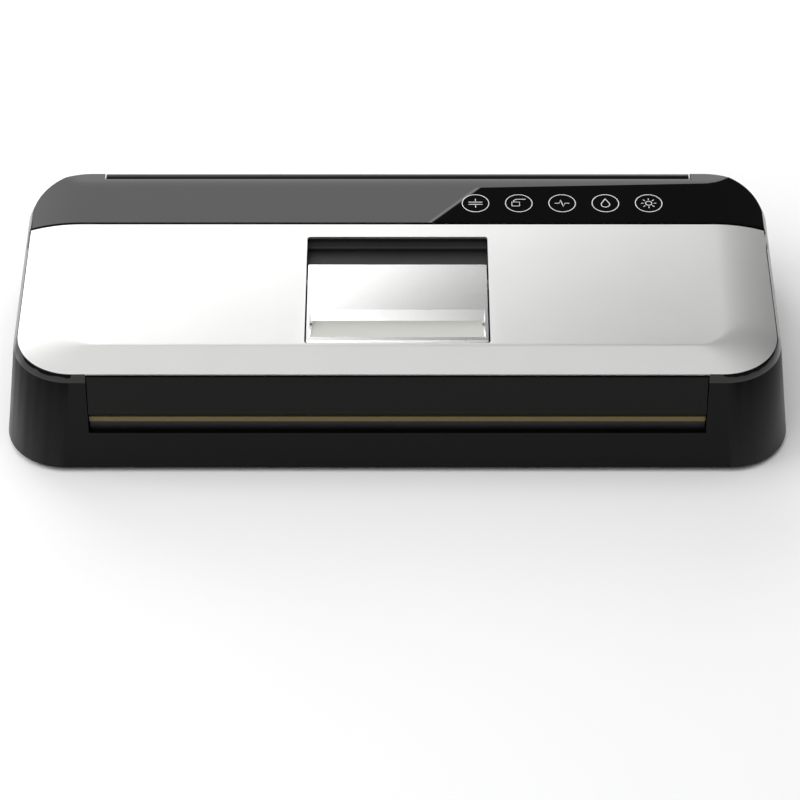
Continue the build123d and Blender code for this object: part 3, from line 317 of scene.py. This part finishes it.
def build_cover():
    """Rings that follow the crown, and a flat middle with the handle's opening."""
    rings = [level_outline(u) for u in np.linspace(1, 0, 26)] + [level_outline(0, 1.2 * MM)]
    plan = np.array(rings)
    height = soft_cover_height(plan[..., 0].ravel(), plan[..., 1].ravel()).reshape(plan.shape[:2])
    work = bmesh.new()
    grid = [[work.verts.new((p[0], p[1], z)) for p, z in zip(ring, level)] for ring, level in zip(plan, height)]
    for outer, inner in zip(grid, grid[1:]):
        for i in range(len(outer) - 1):
            work.faces.new((outer[i], outer[i + 1], inner[i + 1], inner[i]))
    inner = grid[-1]
    boundary = [work.edges.get((a, b)) for a, b in zip(inner, inner[1:])]
    rear = [work.verts.new((x, COVER_REAR, CREST_Z)) for x in np.linspace(inner[-1].co.x, inner[0].co.x, 16)[1:-1]]
    chain = [inner[-1]] + rear + [inner[0]]
    boundary += [work.edges.new((a, b)) for a, b in zip(chain, chain[1:])]
    well_half, well_front, well_rear = 45.8 * MM, -56.9 * MM, 23.3 * MM
    hole = [work.verts.new((x, y, CREST_Z)) for x, y in rounded_loop(well_half, well_front, well_rear, 1.6 * MM)]
    boundary += [work.edges.new((a, b)) for a, b in zip(hole, hole[1:] + hole[:1])]
    bmesh.ops.triangle_fill(work, use_beauty=True, use_dissolve=False, edges=boundary)
    bmesh.ops.recalc_face_normals(work, faces=work.faces)
    if sum(f.normal.z * f.calc_area() for f in work.faces) < 0:
        bmesh.ops.reverse_faces(work, faces=work.faces)
    mesh = bpy.data.meshes.new("lid_cover_shell")
    work.to_mesh(mesh)
    work.free()
    for material in (MATERIALS["cover_steel"], MATERIALS["steel_edge"]):
        mesh.materials.append(material)
    mesh.polygons.foreach_set("use_smooth", [True] * len(mesh.polygons))
    piece = bpy.data.objects.new("lid_cover_shell", mesh)
    bpy.context.scene.collection.objects.link(piece)
    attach(piece, "lid")
    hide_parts("lid_cover")
    thicken(piece, 1.2 * MM)
    soften(piece, 0.35 * MM, 3, 50, material=1)
    return piece


build_cover()


# The control panel: crowned like the cover, round at the back corners, cut back for the hinge barrel.
panel_lo, panel_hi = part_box("control_panel")
PANEL_CORNER = 28.3 * MM
NOTCH_HALF = 152.6 * MM
NOTCH_Y = 68.4 * MM
CROWN_FLAT = 188.0 * MM - CROWN_RUN
REAR_SLOPE_Y = 66.6 * MM
REAR_SLOPE = 0.13


def crown_height(x, y):
    """Height of the panel's top: crowned across the machine, sloped along its rear edge."""
    crown = CREST_Z - DROP * max(0.0, (abs(x) - CROWN_FLAT) / CROWN_RUN) ** 2
    return min(crown, CREST_Z - REAR_SLOPE * max(0.0, y - REAR_SLOPE_Y))


def build_panel():
    """Columns across the machine, each from the panel's front to its rear edge."""
    half, front, rear = panel_hi.x, panel_lo.y, panel_hi.y
    centre_x, centre_y = half - PANEL_CORNER, rear - PANEL_CORNER
    columns = [(x, NOTCH_Y) for x in np.linspace(0, NOTCH_HALF, 40)]
    columns += [(x, rear) for x in (NOTCH_HALF, (NOTCH_HALF + centre_x) / 2)]
    meet = math.acos((NOTCH_Y - centre_y) / PANEL_CORNER)
    angles = sorted(list(np.linspace(0, math.pi / 2, 22)) + [meet])
    columns += [(centre_x + PANEL_CORNER * math.sin(a), centre_y + PANEL_CORNER * math.cos(a)) for a in angles]
    columns = [(-x, y) for x, y in reversed(columns)] + columns
    work = bmesh.new()
    rows = []
    for x, y_end in columns:
        main = list(np.linspace(front, min(y_end, REAR_SLOPE_Y), 9)) + [min(y_end, NOTCH_Y)]
        ear = np.linspace(min(y_end, NOTCH_Y), y_end, 4)
        rows.append([work.verts.new((x, y, crown_height(x, y))) for y in main + list(ear)])
    for a, b in zip(rows, rows[1:]):
        for i in range(len(a) - 1):
            work.faces.new((a[i], b[i], b[i + 1], a[i + 1]))
    bmesh.ops.remove_doubles(work, verts=work.verts, dist=0.00001)
    bmesh.ops.dissolve_degenerate(work, edges=work.edges, dist=0.00001)
    bmesh.ops.recalc_face_normals(work, faces=work.faces)
    if sum(f.normal.z * f.calc_area() for f in work.faces) < 0:
        bmesh.ops.reverse_faces(work, faces=work.faces)
    mesh = bpy.data.meshes.new("control_glass")
    work.to_mesh(mesh)
    work.free()
    mesh.materials.append(MATERIALS["panel_black"])
    mesh.polygons.foreach_set("use_smooth", [True] * len(mesh.polygons))
    piece = bpy.data.objects.new("control_glass", mesh)
    bpy.context.scene.collection.objects.link(piece)
    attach(piece, "lid")
    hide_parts("control_panel")
    thicken(piece, 1.8 * MM, even=False)
    soften(piece, 0.5 * MM, 4, 50)
    return piece


build_panel()


# Printed key marks: a ring and a simple sign for each touch key.
KEY_X = [(40.2 + 22.3 * i) * MM for i in range(5)]
KEY_Y = 49.9 * MM
RING_R = 6.85 * MM
STROKE = 0.42 * MM
PRINT_Z = CREST_Z + 0.03 * MM


def stroke(points, width=STROKE, closed=False):
    """A flat printed line of even width through plan points, as vertices and faces."""
    verts, faces = [], []
    count = len(points)
    for i, (x, y) in enumerate(points):
        before = points[(i - 1) % count] if closed or i > 0 else points[i]
        after = points[(i + 1) % count] if closed or i < count - 1 else points[i]
        dx, dy = after[0] - before[0], after[1] - before[1]
        length = math.hypot(dx, dy) or 1.0
        nx, ny = -dy / length * width / 2, dx / length * width / 2
        verts += [(x + nx, y + ny), (x - nx, y - ny)]
    steps = count if closed else count - 1
    for i in range(steps):
        a, b = 2 * i, 2 * ((i + 1) % count)
        faces.append((a, a + 1, b + 1, b))
    return verts, faces


def arc_points(cx, cy, radius, start, end, steps):
    """Points on an arc, angles in degrees."""
    return [(cx + radius * math.cos(math.radians(a)), cy + radius * math.sin(math.radians(a)))
            for a in np.linspace(start, end, steps)]


def key_signs(index):
    """Strokes of one key's sign, in millimetres about its centre: seal, hose, pulse, moist, dry."""
    if index == 0:
        return [[(-3.6, 0.9), (3.6, 0.9)], [(-3.6, -0.9), (3.6, -0.9)],
                [(0, 3.4), (0, 1.6)], [(0, -3.4), (0, -1.6)]]
    if index == 1:
        return [[(-3.6, -2.2), (-3.6, 1.0), (0.4, 1.0), (0.4, -2.2), (-3.6, -2.2)],
                arc_points(-0.6, 1.0, 2.2, 90, 180, 7), [(-0.6, 3.2), (3.6, 3.2)]]
    if index == 2:
        return [[(-3.8, 0), (-1.6, 0), (-0.8, 2.6), (0.6, -2.6), (1.5, 0), (3.8, 0)]]
    if index == 3:
        drop = [(0, 3.6)] + arc_points(0, -0.9, 2.2, 25, -205, 17)
        return [drop + [(0, 3.6)]]
    rays = [[(2.6 * math.cos(a), 2.6 * math.sin(a)), (3.9 * math.cos(a), 3.9 * math.sin(a))]
            for a in np.linspace(0, 2 * math.pi, 9)[:-1]]
    return rays + [arc_points(0, 0, 1.6, 0, 360, 25)]


def build_key(index):
    """One printed key mark on the panel."""
    verts, faces = [], []

    def lay(points, width, closed):
        flat, quads = stroke(points, width, closed)
        start = len(verts)
        verts.extend((KEY_X[index] + x, KEY_Y + y, PRINT_Z) for x, y in flat)
        faces.extend(tuple(start + i for i in quad) for quad in quads)

    lay([(x, y) for x, y in arc_points(0, 0, RING_R, 0, 360, 65)[:-1]], STROKE, True)
    for line in key_signs(index):
        lay([(x * MM, y * MM) for x, y in line], STROKE, False)
    piece = make_piece(f"key_mark_{index + 1}", verts, faces, "lid", [MATERIALS["print_white"]], False)
    thicken(piece, 0.02 * MM)
    return piece


for key in range(5):
    build_key(key)


# ---------------------------------------------------------------- floor, light, camera

def stage_plane(name, size, material):
    """The floor: a fine grid, so that it isn't a bare primitive."""
    work = bmesh.new()
    bmesh.ops.create_grid(work, x_segments=8, y_segments=8, size=size)
    mesh = bpy.data.meshes.new(name)
    work.to_mesh(mesh)
    work.free()
    mesh.materials.append(material)
    plane = bpy.data.objects.new(name, mesh)
    bpy.context.scene.collection.objects.link(plane)
    return plane


floor_mat, floor_shader = principled("floor_white", (0.9, 0.9, 0.9), 0.9, specular=0.05)
floor_mat.node_tree.links.new(ramp(floor_mat, noise(floor_mat, 3.0), (0.89, 0.89, 0.89), (0.91, 0.91, 0.91)),
                              floor_shader.inputs["Base Color"])
stage_plane("floor", 4.0, floor_mat)


def area_light(name, place, target, size, radiance, glossy=True, roll=0.0):
    """A soft rectangular light that faces a point; its brightness is given as radiance."""
    data = bpy.data.lights.new(name, "AREA")
    data.shape = "RECTANGLE"
    data.size, data.size_y = size
    data.energy = radiance * math.pi * size[0] * size[1]
    light = bpy.data.objects.new(name, data)
    bpy.context.scene.collection.objects.link(light)
    from mathutils import Matrix, Vector
    place, target = Vector(place), Vector(target)
    aim = (target - place).to_track_quat("-Z", "Y").to_matrix() @ Matrix.Rotation(math.radians(roll), 3, "Z")
    light.matrix_world = Matrix.Translation(place) @ aim.to_4x4()
    light.visible_glossy = glossy
    return light


def slanted_card(name, corner, edge, width, height, radiance):
    """A vertical light card behind the machine whose right edge is slanted: corner is a point on that edge,
    edge its direction in the card's plane."""
    from mathutils import Matrix, Vector
    up = Vector((edge[0], 0, edge[1])).normalized()
    facing = Vector((0, -1, 0))
    right = up.cross(facing).normalized()
    centre = Vector(corner) - right * width / 2
    data = bpy.data.lights.new(name, "AREA")
    data.shape = "RECTANGLE"
    data.size, data.size_y = width, height
    data.energy = radiance * math.pi * width * height
    light = bpy.data.objects.new(name, data)
    bpy.context.scene.collection.objects.link(light)
    basis = Matrix((right, up, -facing)).transposed()
    light.matrix_world = Matrix.Translation(centre) @ basis.to_4x4()
    return light


# The card's slanted edge shows in the panel as a diagonal, grey to its left and black to its right.
slanted_card("card_light", (0.0607, 1.2, 1.0216), (-0.728, 0.686), 1.8, 2.6, 2.4)
slanted_card("card_edge_light", (0.0607, 1.199, 1.0216), (-0.728, 0.686), 0.003, 2.6, 1.6)
area_light("top_light", (0.0, -0.25, 2.0), (0.0, -0.25, 0.0), (2.6, 2.3), 0.95)
area_light("front_light", (-0.75, -1.75, 1.75), (0.0, 0.0, 0.0), (1.5, 0.9), 2.2)
area_light("left_light", (-1.6, -0.2, 1.3), (0.0, 0.0, 0.0), (1.4, 1.4), 2.7, glossy=False)
area_light("sky_light", (0.0, 0.0, 2.6), (0.0, 0.0, 0.0), (4.0, 4.0), 0.56, glossy=False)

world = bpy.data.worlds.new("studio")
bpy.context.scene.world = world
world.use_nodes = True
world.node_tree.nodes["Background"].inputs["Color"].default_value = (1, 1, 1, 1)
world.node_tree.nodes["Background"].inputs["Strength"].default_value = 0.09

camera_data = bpy.data.cameras.new("camera")
camera_data.lens = 143.8
camera_data.sensor_width = 36.0
camera = bpy.data.objects.new("camera", camera_data)
bpy.context.scene.collection.objects.link(camera)
camera.location = (0.0013, -1.2159, 1.1205)
camera.rotation_euler = (math.radians(46.6), 0, 0)
bpy.context.scene.camera = camera
bpy.context.scene.view_settings.view_transform = "Standard"
